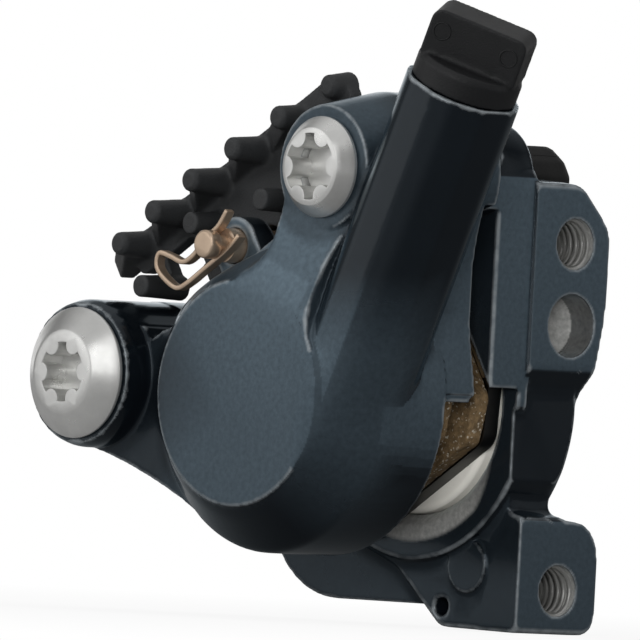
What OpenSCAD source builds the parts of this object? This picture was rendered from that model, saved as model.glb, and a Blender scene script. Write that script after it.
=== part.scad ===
// Flat-mount hydraulic disc brake caliper, rebuilt as an assembly of separate pieces.
// Units are millimetres. Origin: midway between the two tapped mount holes, on the mount face.
// X is the rotor axis, Y points out of the mount face, Z runs up along the line of the mount holes.
// Inside the caliper t runs along the pads, r runs away from the hub, both about the piston axis.

/* [Frame mount] */
// Distance between the two tapped mount holes
mount_spacing = 34; // [32:0.5:36]
// Nominal size of the mount thread
mount_hole_d = 5; // [4:0.1:6]
// Depth of the tapped mount holes
mount_hole_depth = 7.5; // [6:0.1:7.8]
// Distance from the mount holes to the middle of the rotor
rotor_offset = 11.85; // [11.5:0.05:12.5]
// Diameter of the blind lightening hole in the upper mount pad
light_hole_d = 6.2; // [5:0.1:7]
// Height of the lightening hole above the origin
light_hole_z = 9; // [8:0.1:9.5]

/* [Rotor and pistons] */
// Outer radius of the rotor the caliper is made for
rotor_r = 80; // [70:1:90]
// Gap between the two halves for the rotor
slot_w = 3.1; // [2.8:0.1:3.4]
// Piston diameter
piston_d = 22; // [20:0.1:23]
// Piston length
piston_len = 8.9; // [7:0.1:9.2]
// Radial running clearance of the piston in its bore
piston_fit = 0.05; // [0.03:0.01:0.1]
// Wall of the cast housing around the piston bore
housing_wall = 4.5; // [4:0.1:5.5]
// Height of the piston axis over the origin
piston_z = 0.8; // [0:0.1:1.5]
// Distance of the piston axis behind the mount face
piston_back = 14.7; // [14:0.1:15.5]
// Angle of the pads against the mount face normal
tilt = 32.5; // [31:0.5:34]
// Distance from the rotor plane to the bare end disc of a half
end_disc_reach = 19.15; // [18.5:0.05:20]

/* [Pads] */
// Free gap between the two friction faces
pad_gap = 2.8; // [2.4:0.1:3]
// Thickness of the friction material
friction_t = 2; // [1.5:0.1:2.2]
// Thickness of the steel backing plate
plate_t = 1.8; // [1.5:0.1:2]
// Half width of the friction material
friction_half = 11; // [9.5:0.1:11.3]
// Width of the backing plate beyond the friction material on each side
plate_margin = 1.4; // [1.2:0.1:1.6]
// Play between a backing plate and the walls of its channel
pad_play = 0.4; // [0.3:0.05:0.6]

/* [Cooling fins] */
// Number of fingers in the outer row of a pad
finger_count = 6; // [4:1:6]
// Spacing of the outer fingers
finger_pitch = 6.1; // [5.5:0.1:6.3]
// Finger diameter at the tip
finger_d = 2.3; // [1.8:0.1:2.5]
// Distance of the outer finger row from the piston axis
finger_r = 26; // [25.6:0.1:27]
// Longest reach of a finger behind the backing plate
finger_reach = 6.5; // [5:0.1:7]
// Thickness of the fin base plate
fin_base_t = 1.6; // [1.2:0.1:1.8]

/* [Body bolts] */
// Distance of the bolts from the piston axis, away from the hub
bolt_rise = 14.5; // [14.3:0.1:15.3]
// Distance of the upper bolt along the pad
upper_bolt_t = 18.9; // [18.4:0.1:19.5]
// Distance of the lower bolt along the pad
lower_bolt_t = 20.4; // [20:0.1:21.5]
// Bolt shank diameter
bolt_d = 6; // [5:0.1:6]
// Distance from the rotor plane to the seat of the bolt heads
bolt_seat = 16.75; // [16:0.05:17]
// Head diameter of the upper bolt
upper_head_d = 9.9; // [9.5:0.1:11]
// Head diameter of the lower bolt
lower_head_d = 12.9; // [12:0.1:13.3]
// Size over the lobes of the socket in the upper bolt
upper_socket_d = 6.5; // [5.6:0.1:6.7]
// Size over the lobes of the socket in the lower bolt
lower_socket_d = 5.8; // [4.5:0.1:6.5]

/* [Pad axle] */
// Distance of the pad axle from the piston axis
axle_r = 17; // [16.8:0.1:17.3]
// Pad axle diameter
axle_d = 3.4; // [3:0.1:3.6]
// Thickness of the retaining clip strip
clip_t = 0.5; // [0.4:0.05:0.6]

/* [Hose port] */
// Distance of the port axis from the rotor plane
port_x = 13.15; // [12.8:0.05:13.5]
// Lean of the port away from the mount hole line
port_lean = 24; // [22:0.5:26]
// Width over the flats of the port tube
port_w = 10.9; // [10.7:0.1:11.5]
// Bore of the port
port_bore = 8.6; // [8:0.1:9]
// Width of the grip on the port plug
plug_grip_w = 9.9; // [9:0.1:10.5]

/* [Bleed nipple] */
// Width over the flats of the nipple hexagon
nipple_hex = 7; // [6:0.5:7]
// Outer diameter of the rubber cap
cap_d = 7; // [6.6:0.1:7.4]
// Height of the bleed boss over the origin
bleed_boss_z = 18; // [17.5:0.1:18.5]

/* [Hidden] */
$fn = 64;
fit = 0.05;
piston_r = piston_d / 2;
bore_r = piston_r + piston_fit;
housing_r = piston_r + housing_wall;
piston_y = -piston_back;
disc_r = piston_r + 0.2;
hub_r = -(rotor_r - 10.5);
rotor_clear_r = rotor_r + 1.2;
face_off = pad_gap / 2;
plate_off = face_off + friction_t;
back_off = plate_off + plate_t;
floor_off = back_off + 0.35;
piston_end = back_off + fit + piston_len;
bore_end = piston_end + 0.8;
plate_half = friction_half + plate_margin;
channel_half = plate_half + pad_play;
tab_top = axle_r + 3.6;
seal_x = floor_off + 4.6;
seal_w = 2.4;
seal_h = 1.75;
seal_fit = 0.03;
window_r = piston_r + seal_fit + seal_h + fit + 0.8;
fin_foot = window_r + 0.4;
shank_r = bolt_d / 2;
upper_boss_r = 7.8;
lower_boss_r = 7.4;
upper_bolt_end = -5.6;
lower_bolt_end = -8.4;
axle_rad = axle_d / 2;
axle_head_r = axle_rad + 1.3;
axle_head_h = 2.1;
ear_in = back_off + 3.35;
ear_out = 11.6;
ear_r = axle_rad + 1.2;
web_in = 5.5;
web_back = -4.7;
face_recess = 1;
bleed_x = -4.5;
bleed_y = -10.9;
bleed_r = 4.6;
nipple_r = 2.9;
nipple_floor = bleed_boss_z - 5.5;
mouth = [rotor_offset + port_x, 8.7, 31.5];
upper_bolt = [upper_bolt_t, bolt_rise];
lower_bolt = [-lower_bolt_t, bolt_rise - 0.2];
ring_seat = upper_bolt + 5.3 * [cos(100), sin(100)];

function unit(v) = v / norm(v);

// points of a polygon whose corners [x, y, radius] are rounded
function rounded(c, n = 5) = [
    for (i = [0 : len(c) - 1])
        let (
            b = [c[i][0], c[i][1]],
            a = c[(i + len(c) - 1) % len(c)],
            d = c[(i + 1) % len(c)],
            u = unit([a[0], a[1]] - b),
            v = unit([d[0], d[1]] - b),
            half = acos(u * v) / 2,
            m = b + unit(u + v) * c[i][2] / sin(half),
            s = b + u * c[i][2] / tan(half) - m,
            e = b + v * c[i][2] / tan(half) - m,
            start = atan2(s[1], s[0]),
            turn = (atan2(e[1], e[0]) - start + 540) % 360 - 180
        )
        for (k = [0 : n])
            m + c[i][2] * [cos(start + turn * k / n), sin(start + turn * k / n)]
];

// smooth curve through the given points
function spline(p, n = 6) = [
    for (i = [0 : len(p) - 2])
        let (a = p[max(i - 1, 0)], b = p[i], c = p[i + 1], d = p[min(i + 2, len(p) - 1)])
        for (k = [0 : n - 1])
            let (s = k / n)
            0.5 * (2 * b + (c - a) * s + (2 * a - 5 * b + 4 * c - d) * s * s
                + (3 * b - a - 3 * c + d) * s * s * s),
    p[len(p) - 1]
];

// outline of a strip of the given half thickness along a path
function strip(p, h) =
    let (
        q = [
            for (i = [0 : len(p) - 1])
                let (u = unit(p[min(i + 1, len(p) - 1)] - p[max(i - 1, 0)]))
                [-u[1], u[0]] * h
        ]
    )
    concat(
        [for (i = [0 : len(p) - 1]) p[i] + q[i]],
        [for (i = [len(p) - 1 : -1 : 0]) p[i] - q[i]]
    );

// centre of the round that is tangent to two circles from outside, on one side of their line
function blend_centre(c1, r1, c2, r2, f, side) =
    let (
        d = norm(c2 - c1),
        u = (c2 - c1) / d,
        x = (d * d + pow(r1 + f, 2) - pow(r2 + f, 2)) / (2 * d),
        y = side * sqrt(pow(r1 + f, 2) - x * x)
    )
    c1 + u * x + [-u[1], u[0]] * y;

// caliper space: x along the pad, y away from the hub, z from the rotor plane to the hose side
module caliper() {
    translate([rotor_offset, piston_y, piston_z])
        rotate([90, 0, 90])
            rotate(tilt)
                children();
}

// side view space: x is Y, y is Z, z is X
module side_view(x = 0) {
    translate([x, 0, 0])
        rotate([90, 0, 90])
            children();
}

// the other half of the caliper, reflected in the rotor plane
module mount_side() {
    translate([2 * rotor_offset, 0, 0])
        mirror([1, 0, 0])
            children();
}

// port space: z runs out of the hose port from its mouth
module port() {
    translate(mouth)
        rotate([-port_lean, 0, 0])
            children();
}

// two circles joined by a waist that blends into both
module waist(c1, r1, c2, r2, left, right) {
    a = blend_centre(c1, r1, c2, r2, left, 1);
    b = blend_centre(c1, r1, c2, r2, right, -1);
    difference() {
        polygon([c1, b, c2, a]);
        translate(a)
            circle(left);
        translate(b)
            circle(right);
    }
    translate(c1)
        circle(r1);
    translate(c2)
        circle(r2);
}

// turned housing round one piston, from the pad floor over a bevel to its end
module housing(bevel, reach, end_r) {
    rotate_extrude()
        polygon([
            [0, floor_off], [housing_r, floor_off], [housing_r, bevel - 0.5],
            [housing_r - 0.15, bevel], [housing_r - 0.5, bevel + 0.5],
            [end_r + 0.4, reach - 0.5], [end_r, reach - 0.2], [end_r - 0.4, reach], [0, reach]
        ]);
}

// boss round a body bolt, narrowing to its seat
module bolt_boss(place, r, seat_r, mid, top) {
    translate([place[0], place[1], 2]) {
        cylinder(r = r, h = mid - 2);
        translate([0, 0, mid - 2])
            cylinder(r1 = r, r2 = seat_r, h = top - mid);
    }
}

// ear that carries the pad axle
module axle_ear(low, top) {
    translate([0, axle_r, low])
        cylinder(r = ear_r, h = top - low);
    translate([-ear_r, window_r - 0.5, low])
        cube([2 * ear_r, axle_r - window_r + 0.5, top - low]);
}

// what is cut out of a half: pad channel, window, rotor slot, piston bore with its seal groove
module half_cuts(window_half, window_end) {
    translate([-channel_half, -40, -0.01])
        cube([2 * channel_half, 90, floor_off + 0.01]);
    translate([-window_half, window_r, 0])
        cube([2 * window_half, 40, window_end]);
    translate([0, hub_r, -0.01])
        cylinder(r = rotor_clear_r, h = slot_w / 2 + 0.01, $fn = 180);
    cylinder(r = bore_r, h = bore_end);
    translate([0, 0, floor_off - 0.01])
        cylinder(r1 = bore_r + 1.0, r2 = bore_r, h = 1);
    translate([0, 0, seal_x])
        cylinder(r = piston_r + seal_fit + seal_h + fit, h = seal_w + 2 * fit);
}

// walls that hold the pads, from the rotor plane to the pad floor
module pad_walls(upper_r) {
    intersection() {
        linear_extrude(floor_off + 1)
            union() {
                waist([0, 0], housing_r - 0.1, lower_bolt, lower_boss_r, 70, 5);
                waist([0, 0], housing_r - 0.1, upper_bolt, upper_r, 5, 30);
            }
        translate([-60, -7.5, 0])
            cube([120, 60, 20]);
    }
}

module hose_side_body() {
    color([0.2, 0.23, 0.26])
    difference() {
        union() {
            hose_side_casting();
            caliper()
                axle_ear(ear_in, ear_out);
        }
        hose_side_bores();
    }
}

module hose_side_casting() {
    difference() {
        union() {
            caliper() {
                hose_side_dome();
                pad_walls(upper_boss_r);
                bolt_boss(upper_bolt, upper_boss_r - 0.1, upper_boss_r - 1.7, 9, bolt_seat);
                bolt_boss(lower_bolt, lower_boss_r - 0.1, lower_boss_r - 0.5, bolt_seat - 1.2, bolt_seat);
                hose_side_neck();
                translate([0, 0, 2])
                    linear_extrude(bolt_seat - 5)
                        waist([0, 0], housing_r - 0.2, lower_bolt, lower_boss_r - 0.2, 70, 5);
            }
            side_view(rotor_offset)
                linear_extrude(10)
                    polygon(rounded([[-12, 1.5, 0.5], [-0.5, 1.5, 0.5], [-0.5, 24, 2], [-12, 24, 2]]));
            hose_side_tube();
        }
        caliper()
            half_cuts(channel_half, bolt_seat - 2.1);
    }
}

// housing with the bare end disc, cut back behind the fins
module hose_side_dome() {
    difference() {
        housing(end_disc_reach - 4.8, end_disc_reach - 0.3, disc_r + 0.3);
        translate([-20, disc_r + 1, end_disc_reach - 6.3])
            cube([40, 20, 20]);
    }
    translate([0, 0, end_disc_reach - 3])
        cylinder(r = disc_r, h = 2.8);
    translate([0, 0, end_disc_reach - 0.2])
        cylinder(r1 = disc_r, r2 = disc_r - 0.2, h = 0.2);
}

// neck between the end disc and the upper bolt, its face falling from disc to seat
module hose_side_neck() {
    fall = atan2(end_disc_reach - bolt_seat, norm(upper_bolt) - upper_head_d / 2 - 0.4 - disc_r);
    intersection() {
        linear_extrude(end_disc_reach - 0.02)
            waist([0, 0], disc_r - 0.6, upper_bolt, upper_boss_r - 1.6, 8, 16);
        rotate(atan2(bolt_rise, upper_bolt_t))
            translate([disc_r - 0.4, 0, end_disc_reach])
                rotate([0, fall, 0])
                    translate([-30, -20, -40])
                        cube([60, 40, 40]);
    }
}

// tube of the hose port with four small flats, its round end sunk into the housing
module hose_side_tube() {
    reach = 33.5;
    port()
        translate([0, 0, -reach]) {
            intersection() {
                translate([-port_w / 2, -port_w / 2, 0])
                    cube([port_w, port_w, reach]);
                cylinder(r = port_w / 2 + 0.3, h = reach);
            }
            sphere(r = port_w / 2 - 0.05);
        }
}

module hose_side_bores() {
    caliper() {
        for (b = [upper_bolt, lower_bolt])
            translate([b[0], b[1], -1])
                cylinder(r = shank_r + 0.15, h = 40);
        for (s = [[upper_bolt, upper_head_d], [lower_bolt, lower_head_d]])
            translate([s[0][0], s[0][1], bolt_seat - 0.01])
                cylinder(d = s[1] + 0.6, h = 12);
        translate([0, axle_r, 0])
            cylinder(r = axle_rad + fit, h = 40);
        translate([ring_seat[0], ring_seat[1], -0.01])
            cylinder(r = 1.85, h = 0.76);
        translate([ring_seat[0], ring_seat[1], 0])
            cylinder(r = 0.8, h = 9);
    }
    port() {
        translate([0, 0, -12.5])
            cylinder(d = port_bore, h = 20);
        translate([0, 0, -29])
            cylinder(r = 1.2, h = 20);
    }
}

module mount_side_body() {
    color([0.2, 0.23, 0.26])
    difference() {
        union() {
            mount_side_casting();
            mount_side()
                caliper()
                    axle_ear(ear_in, ear_out);
            side_view(web_in)
                translate([-7.1, -15])
                    cylinder(d = 5.2, h = 0.3);
        }
        mount_side_bores();
    }
}

module mount_side_casting() {
    strip_start = web_in - 0.5;
    difference() {
        union() {
            difference() {
                mount_side()
                    caliper()
                        mount_side_dome();
                translate([-50, -face_recess, -50])
                    cube(100);
            }
            mount_web();
            lower_drum();
            side_view(strip_start)
                linear_extrude(rotor_offset - strip_start)
                    polygon(rounded([[-12, 0.5, 0.5], [-0.5, 0.5, 0.5], [-0.5, 24.6, 2], [-12, 24.6, 2]]));
            translate([bleed_x, bleed_y, 0])
                cylinder(r = bleed_r, h = bleed_boss_z);
        }
        mount_side()
            caliper()
                half_cuts(8.4, ear_out + 2.5);
    }
}

// housing, bosses and arm of the mount side, before they are trimmed behind the mount face
module mount_side_dome() {
    housing(12.1, bore_end + 2, disc_r - 0.5);
    pad_walls(upper_boss_r - 2.4);
    bolt_boss(upper_bolt, upper_boss_r - 1.9, upper_boss_r - 2.6, 2.5, 7);
    bolt_boss(lower_bolt, lower_boss_r - 0.1, lower_boss_r - 0.6, 11.2, 12.4);
    translate([0, 0, 2])
        linear_extrude(7)
            waist([0, 0], housing_r - 0.3, lower_bolt, lower_boss_r - 0.4, 60, 6);
}

// web with the two mount pads, cut to its side outline and to its mount face outline
module mount_web() {
    top = mount_spacing / 2 + 5.9;
    foot = mount_spacing / 2 + 4.3;
    intersection() {
        side_view(web_back - 1)
            linear_extrude(web_in - web_back + 1)
                polygon(rounded([
                    [0, top, 0.6], [0, 4.6, 0.8], [-1.5, 2, 4], [-1.9, -9.5, 1], [0, -9.9, 0.6],
                    [0, -foot, 0.5], [-10.8, -foot + 0.2, 2], [-17.3, -15.3, 4], [-25, -12.5, 1],
                    [-22, 8, 1], [-13.5, 17.8, 1], [-6, bleed_boss_z, 1], [-4.6, top + 0.4, 1.5]
                ]));
        translate([0, 1, 0])
            rotate([90, 0, 0])
                linear_extrude(40)
                    polygon(rounded([
                        [web_in, top + 1, 0.1], [-0.6, top - 0.2, 2], [-4.8, top - 4.5, 4], [-4.6, 10, 20],
                        [-3.6, 4.6, 2], [-0.2, -6.5, 6], [0, -10, 1], [-5.2, -10.4, 3.4],
                        [-5.2, -foot, 2], [web_in, -foot - 0.2, 0.1]
                    ]));
    }
}

// full lower corner of the mount side, from the lower bolt boss to the web
module lower_drum() {
    side_view(-3)
        linear_extrude(7.6)
            union() {
                translate([-26.5, -9])
                    circle(r = 10);
                polygon([[-26.5, -19], [-10, -19], [-12, 0], [-26.5, 0]]);
                polygon([[-36.5, -9], [-41, 0], [-30, 3], [-26, -9]]);
            }
}

module mount_side_bores() {
    for (s = [-1, 1])
        translate([0, 1, s * mount_spacing / 2])
            rotate([90, 0, 0])
                cylinder(d = mount_hole_d, h = mount_hole_depth + 1);
    translate([0, 0, light_hole_z])
        rotate([90, 0, 0]) {
            translate([0, 0, -1])
                cylinder(d = light_hole_d, h = 4.2);
            translate([0, 0, 3.19])
                cylinder(d1 = light_hole_d, d2 = 0.4, h = 1.6);
        }
    side_view(web_in)
        translate([-10.6, -mount_spacing / 2 - 2.1, -4])
            cylinder(d = 1.8, h = 5);
    mount_side()
        caliper() {
            for (s = [[upper_bolt, upper_bolt_end], [lower_bolt, lower_bolt_end]])
                translate([s[0][0], s[0][1], -1])
                    cylinder(r = shank_r + fit, h = 1.5 - s[1]);
            translate([0, axle_r, 0])
                cylinder(r = axle_rad + fit, h = 40);
            translate([0, axle_r, ear_out])
                cylinder(r = axle_head_r + 0.3, h = axle_head_h + 0.2);
            translate([ring_seat[0], ring_seat[1], -1])
                cylinder(r = 0.8, h = 6);
        }
    translate([bleed_x, bleed_y, nipple_floor])
        cylinder(r = nipple_r + fit, h = 20);
    translate([bleed_x, bleed_y, nipple_floor - 5])
        cylinder(r = 0.8, h = 6);
}

// round head with a cone, a flat front and a six-lobe socket, on a plain shank
module body_bolt(place, bolt_end, head_d, front_d, head_h, socket_d) {
    color([0.75, 0.76, 0.77])
    caliper()
        translate([place[0], place[1], 0])
            difference() {
                rotate_extrude()
                    polygon([
                        [0, bolt_end], [shank_r - 0.5, bolt_end], [shank_r, bolt_end + 0.5],
                        [shank_r, bolt_seat], [head_d / 2 - 0.15, bolt_seat],
                        [head_d / 2, bolt_seat + 0.15], [head_d / 2, bolt_seat + 0.45],
                        [front_d / 2 + 0.2, bolt_seat + head_h - 0.1],
                        [front_d / 2 - 0.2, bolt_seat + head_h], [0, bolt_seat + head_h]
                    ]);
                translate([0, 0, bolt_seat + head_h - 2.6])
                    linear_extrude(5)
                        six_lobe(socket_d);
            }
}

module six_lobe(socket_d) {
    difference() {
        circle(d = socket_d);
        for (k = [0 : 5])
            rotate(60 * k + 30)
                translate([socket_d * 0.52, 0])
                    circle(d = socket_d * 0.34);
    }
}

module upper_body_bolt() {
    body_bolt(upper_bolt, upper_bolt_end, upper_head_d, upper_head_d - 2.7, 1.9, upper_socket_d);
}

module lower_body_bolt() {
    body_bolt(lower_bolt, lower_bolt_end, lower_head_d, lower_head_d - 5, 2.3, lower_socket_d);
}

// hollow cup that bears on the backing plate with its rim
module piston() {
    color([0.86, 0.85, 0.81])
    difference() {
        translate([0, 0, back_off + fit])
            rotate_extrude()
                polygon([
                    [0, 0], [piston_r - 0.4, 0], [piston_r, 0.4], [piston_r, piston_len - 0.6],
                    [piston_r - 0.6, piston_len], [0, piston_len]
                ]);
        translate([0, 0, back_off - 1])
            cylinder(r = piston_r - 3.2, h = piston_len - 1.6);
    }
}

module hose_side_piston() {
    caliper()
        piston();
}

module mount_side_piston() {
    mount_side()
        caliper()
            piston();
}

module piston_seal() {
    color([0.12, 0.12, 0.12])
    translate([0, 0, seal_x + fit])
        difference() {
            cylinder(r = piston_r + seal_fit + seal_h, h = seal_w);
            translate([0, 0, -1])
                cylinder(r = piston_r + seal_fit, h = seal_w + 2);
        }
}

module hose_side_piston_seal() {
    caliper()
        piston_seal();
}

module mount_side_piston_seal() {
    mount_side()
        caliper()
            piston_seal();
}

// small round-section ring that seals the fluid passage between the halves
module transfer_port_seal() {
    color([0.1, 0.1, 0.1])
    caliper()
        translate([ring_seat[0], ring_seat[1], 0.375])
            rotate_extrude()
                translate([1.35, 0])
                    circle(r = 0.36, $fn = 24);
}

function plate_outline() = [
    [-plate_half, -3.5, 1.5], [-8, -9.4, 2], [8, -9.4, 2], [plate_half, -3.5, 1.5],
    [plate_half, 8.5, 1.5], [9, 11.6, 2], [5.2, 12.4, 1.5], [5.2, tab_top, 2],
    [-5.2, tab_top, 2], [-5.2, 12.4, 1.5], [-9, 11.6, 2], [-plate_half, 8.5, 1.5]
];

module backing_plate() {
    color([0.35, 0.36, 0.37])
    translate([0, 0, plate_off])
        difference() {
            linear_extrude(plate_t)
                polygon(rounded(plate_outline()));
            translate([0, axle_r, -1])
                cylinder(r = axle_rad + 0.15, h = plate_t + 2);
            for (s = rivet_places())
                translate([s[0], s[1], -1])
                    cylinder(r = 0.9 + fit, h = plate_t + 2);
        }
}

function rivet_places() = [[-3.9, fin_foot + 1.4], [3.9, fin_foot + 1.4], [-3.4, tab_top - 1.4]];

module hose_side_backing_plate() {
    caliper()
        backing_plate();
}

module mount_side_backing_plate() {
    mount_side()
        caliper()
            backing_plate();
}

// friction block with clipped lower corners
module friction_pad() {
    color([0.36, 0.32, 0.26])
    translate([0, 0, face_off])
        linear_extrude(friction_t)
            polygon(rounded([
                [-friction_half, -6, 1], [-7.6, -9.3, 1], [7.6, -9.3, 1], [friction_half, -6, 1],
                [friction_half, 6.8, 1.5], [8, 9, 1.5], [-8, 9, 1.5], [-friction_half, 6.8, 1.5]
            ]));
}

module hose_side_friction_pad() {
    caliper()
        friction_pad();
}

module mount_side_friction_pad() {
    mount_side()
        caliper()
            friction_pad();
}

// place of one outer finger along the pad, and how far it reaches
function finger_t(i) = (finger_count - 1) / 2 * finger_pitch + 0.5 - finger_pitch * i;
function finger_len(i) = finger_reach - pow(finger_t(i) + 5, 2) / 130;

// comb of fingers that stands behind a backing plate, clear of the bolt bosses and open below the axle
module cooling_fins() {
    end = (finger_count - 1) / 2 * finger_pitch + 1.8;
    low = finger_r - 2.4;
    color([0.14, 0.15, 0.16])
    translate([0, 0, back_off])
        difference() {
            union() {
                linear_extrude(fin_base_t)
                    polygon(rounded([
                        [-end, low, 1], [-8.6, low, 1], [-8.6, fin_foot, 1], [8.6, fin_foot, 1],
                        [8.6, low, 1], [end, low, 1], [end, finger_r, 1], [end - 3, finger_r + 1.5, 1],
                        [-end, finger_r + 1.5, 1]
                    ]));
                for (i = [0 : finger_count - 1])
                    translate([finger_t(i), finger_r, 0])
                        outer_finger(finger_len(i));
                for (p = [[4.6, axle_r + 2.6], [-5, axle_r + 5.6], [-14, axle_r + 3.7]])
                    translate([p[0], p[1], 0])
                        inner_finger();
                translate([-14.9, axle_r + 3.7, 0])
                    cube([1.8, low - axle_r - 3, fin_base_t]);
            }
            translate([0, axle_r, -1])
                cylinder(r = axle_rad + 0.5, h = 8);
            translate([-axle_rad - 0.5, 0, -1])
                cube([2 * axle_rad + 1, axle_r, 8]);
            for (s = rivet_places())
                translate([s[0], s[1], -1])
                    cylinder(r = 0.9 + fit, h = fin_base_t + 2);
        }
}

// tapered finger with a gusset on its lower side
module outer_finger(reach) {
    cylinder(d1 = finger_d + 0.8, d2 = finger_d, h = reach - 0.35, $fn = 32);
    translate([0, 0, reach - 0.35])
        cylinder(d1 = finger_d, d2 = finger_d - 0.7, h = 0.35, $fn = 32);
    translate([0, finger_d / 2 - 0.1, 0])
        rotate([90, 0, 0])
            linear_extrude(finger_d - 0.2)
                polygon([
                    [0, 0], [1.4 - finger_pitch, 0], [1.4 - finger_pitch, fin_base_t + 0.2],
                    [-0.9, reach - 1.3], [0, reach - 1.3]
                ]);
}

module inner_finger() {
    cylinder(d1 = 2.6, d2 = 2.2, h = finger_reach - 0.8, $fn = 32);
}

module hose_side_cooling_fins() {
    caliper()
        cooling_fins();
}

module mount_side_cooling_fins() {
    mount_side()
        caliper()
            cooling_fins();
}

// rivets that hold the fins on the backing plate
module fin_rivets() {
    color([0.6, 0.6, 0.58])
    for (s = rivet_places())
        translate([s[0], s[1], 0]) {
            translate([0, 0, plate_off])
                cylinder(r = 0.9, h = plate_t + fin_base_t);
            translate([0, 0, back_off + fin_base_t])
                cylinder(r1 = 1.3, r2 = 0.9, h = 0.5);
        }
}

module hose_side_fin_rivets() {
    caliper()
        fin_rivets();
}

module mount_side_fin_rivets() {
    mount_side()
        caliper()
            fin_rivets();
}

// bent leaf between the backing plates: two legs on each plate, joined by a bow over the axle
module pad_return_spring() {
    leaf = 0.35;
    leg = plate_off - 0.05;
    inner = friction_half + 0.25;
    outer = plate_half - 0.15;
    top = tab_top - 0.2;
    color([0.62, 0.64, 0.66])
    caliper() {
        for (m = [0, 1])
            mirror([0, 0, m])
                translate([0, 0, leg - leaf]) {
                    for (x = [inner, -outer])
                        translate([x, -4, 0])
                            cube([outer - inner, 13.2, leaf]);
                    linear_extrude(leaf)
                        difference() {
                            polygon([
                                [-outer, 9.2], [outer, 9.2], [outer, 10.4], [4.6, 13], [4.6, top],
                                [-4.6, top], [-4.6, 13], [-outer, 10.4]
                            ]);
                            translate([0, axle_r])
                                circle(r = axle_rad + 0.3);
                        }
                }
        translate([-4.6, top - leaf, -leg])
            cube([9.2, leaf, 2 * leg]);
    }
}

// pin on which both pads hang, with a clip groove at the hose side and a hexagon socket head
module pad_axle() {
    tip = 15.85;
    head = -ear_out - axle_head_h;
    color([0.78, 0.68, 0.56])
    caliper()
        translate([0, axle_r, 0])
            difference() {
                rotate_extrude()
                    polygon([
                        [0, head], [axle_head_r - 0.3, head], [axle_head_r, head + 0.3], [axle_head_r, -ear_out],
                        [axle_rad, -ear_out], [axle_rad, 13.05], [1, 13.15], [1, tip - 1.4],
                        [1.35, tip - 1.4], [1.4, tip - 1.3], [1.4, tip - 0.2], [1.2, tip], [0, tip]
                    ]);
                translate([0, 0, head - 1])
                    linear_extrude(2.8)
                        polygon([for (k = [0 : 5]) 1.73 * [cos(60 * k), sin(60 * k)]]);
            }
}

// hairpin strip that snaps into the groove of the pad axle
module pad_axle_clip() {
    g = 1.05 + clip_t / 2;
    lower = [[3.3, -0.9], [1.6, -g + 0.1], [0, -g], [-2.4, -g], [-5.2, -1.3], [-6.8, -0.9], [-7.9, 1]];
    upper = [[-8.1, 2.4], [-7.2, 3.3], [-6, 2.2], [-4.7, 0.8], [-2.8, 0.7], [-1.2, g], [0, g], [1.3, g + 0.1],
        [3, 2.1]];
    color([0.8, 0.7, 0.58])
    caliper()
        translate([0, axle_r, 13.2])
            linear_extrude(1.1)
                polygon(strip(spline(concat(lower, upper), 5), clip_t / 2));
}

// shipping plug: stem in the bore, round collar and a grip with softened corners
module hose_port_plug() {
    color([0.1, 0.1, 0.11])
    port() {
        translate([0, 0, -9])
            cylinder(d1 = port_bore - 0.9, d2 = port_bore - 0.2, h = 9.05);
        translate([0, 0, fit]) {
            cylinder(d = 10.6, h = 2.1);
            translate([0, 0, 2.1])
                cylinder(d1 = 10.6, d2 = 9.8, h = 0.5);
            rotate(-55)
                translate([0, 2.5, 2.4])
                    rotate([90, 0, 0])
                        linear_extrude(5)
                            polygon(rounded([
                                [-plug_grip_w / 2, 0, 0.1], [plug_grip_w / 2, 0, 0.1],
                                [plug_grip_w / 2, 4.8, 1.1], [-plug_grip_w / 2, 4.8, 1.1]
                            ]));
        }
    }
}

// hollow bleed screw: thread, hexagon and hose barb
module bleed_nipple() {
    color([0.72, 0.73, 0.74])
    translate([bleed_x, bleed_y, 0])
        difference() {
            union() {
                translate([0, 0, nipple_floor + 0.1]) {
                    cylinder(r1 = 1.4, r2 = nipple_r, h = 1.4);
                    translate([0, 0, 1.4])
                        cylinder(r = nipple_r, h = 4.2);
                }
                translate([0, 0, bleed_boss_z + fit])
                    linear_extrude(2.5)
                        polygon([for (k = [0 : 5]) nipple_hex / sqrt(3) * [cos(60 * k), sin(60 * k)]]);
                translate([0, 0, bleed_boss_z + 2.5])
                    rotate_extrude()
                        polygon([
                            [0, 0], [2, 0], [2, 1.9], [1.7, 2.4], [1.7, 3], [2.1, 3.5],
                            [1.5, 4.8], [0, 4.8]
                        ]);
            }
            translate([0, 0, bleed_boss_z])
                cylinder(r = 0.7, h = 10);
        }
}

// rubber cap that pulls off the barb of the nipple
module bleed_nipple_cap() {
    h = bleed_boss_z + 2.6;
    color([0.1, 0.1, 0.11])
    translate([bleed_x, bleed_y, h])
        rotate_extrude()
            polygon([
                [2.35, 0.05], [cap_d / 2 - 0.3, 0.05], [cap_d / 2, 0.35], [cap_d / 2, 3],
                [cap_d / 2 - 0.6, 4.4], [cap_d / 2 - 1.8, 5.6], [cap_d / 2 - 2.4, 5.9], [0, 5.9],
                [0, 5], [2.35, 5]
            ]);
}

hose_side_body();
mount_side_body();
upper_body_bolt();
lower_body_bolt();
hose_side_piston();
mount_side_piston();
hose_side_piston_seal();
mount_side_piston_seal();
transfer_port_seal();
hose_side_backing_plate();
hose_side_friction_pad();
hose_side_cooling_fins();
hose_side_fin_rivets();
mount_side_backing_plate();
mount_side_friction_pad();
mount_side_cooling_fins();
mount_side_fin_rivets();
pad_return_spring();
pad_axle();
pad_axle_clip();
hose_port_plug();
bleed_nipple();
bleed_nipple_cap();
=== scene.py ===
"""Looks of a flat-mount disc brake caliper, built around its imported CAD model."""

import math

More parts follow.
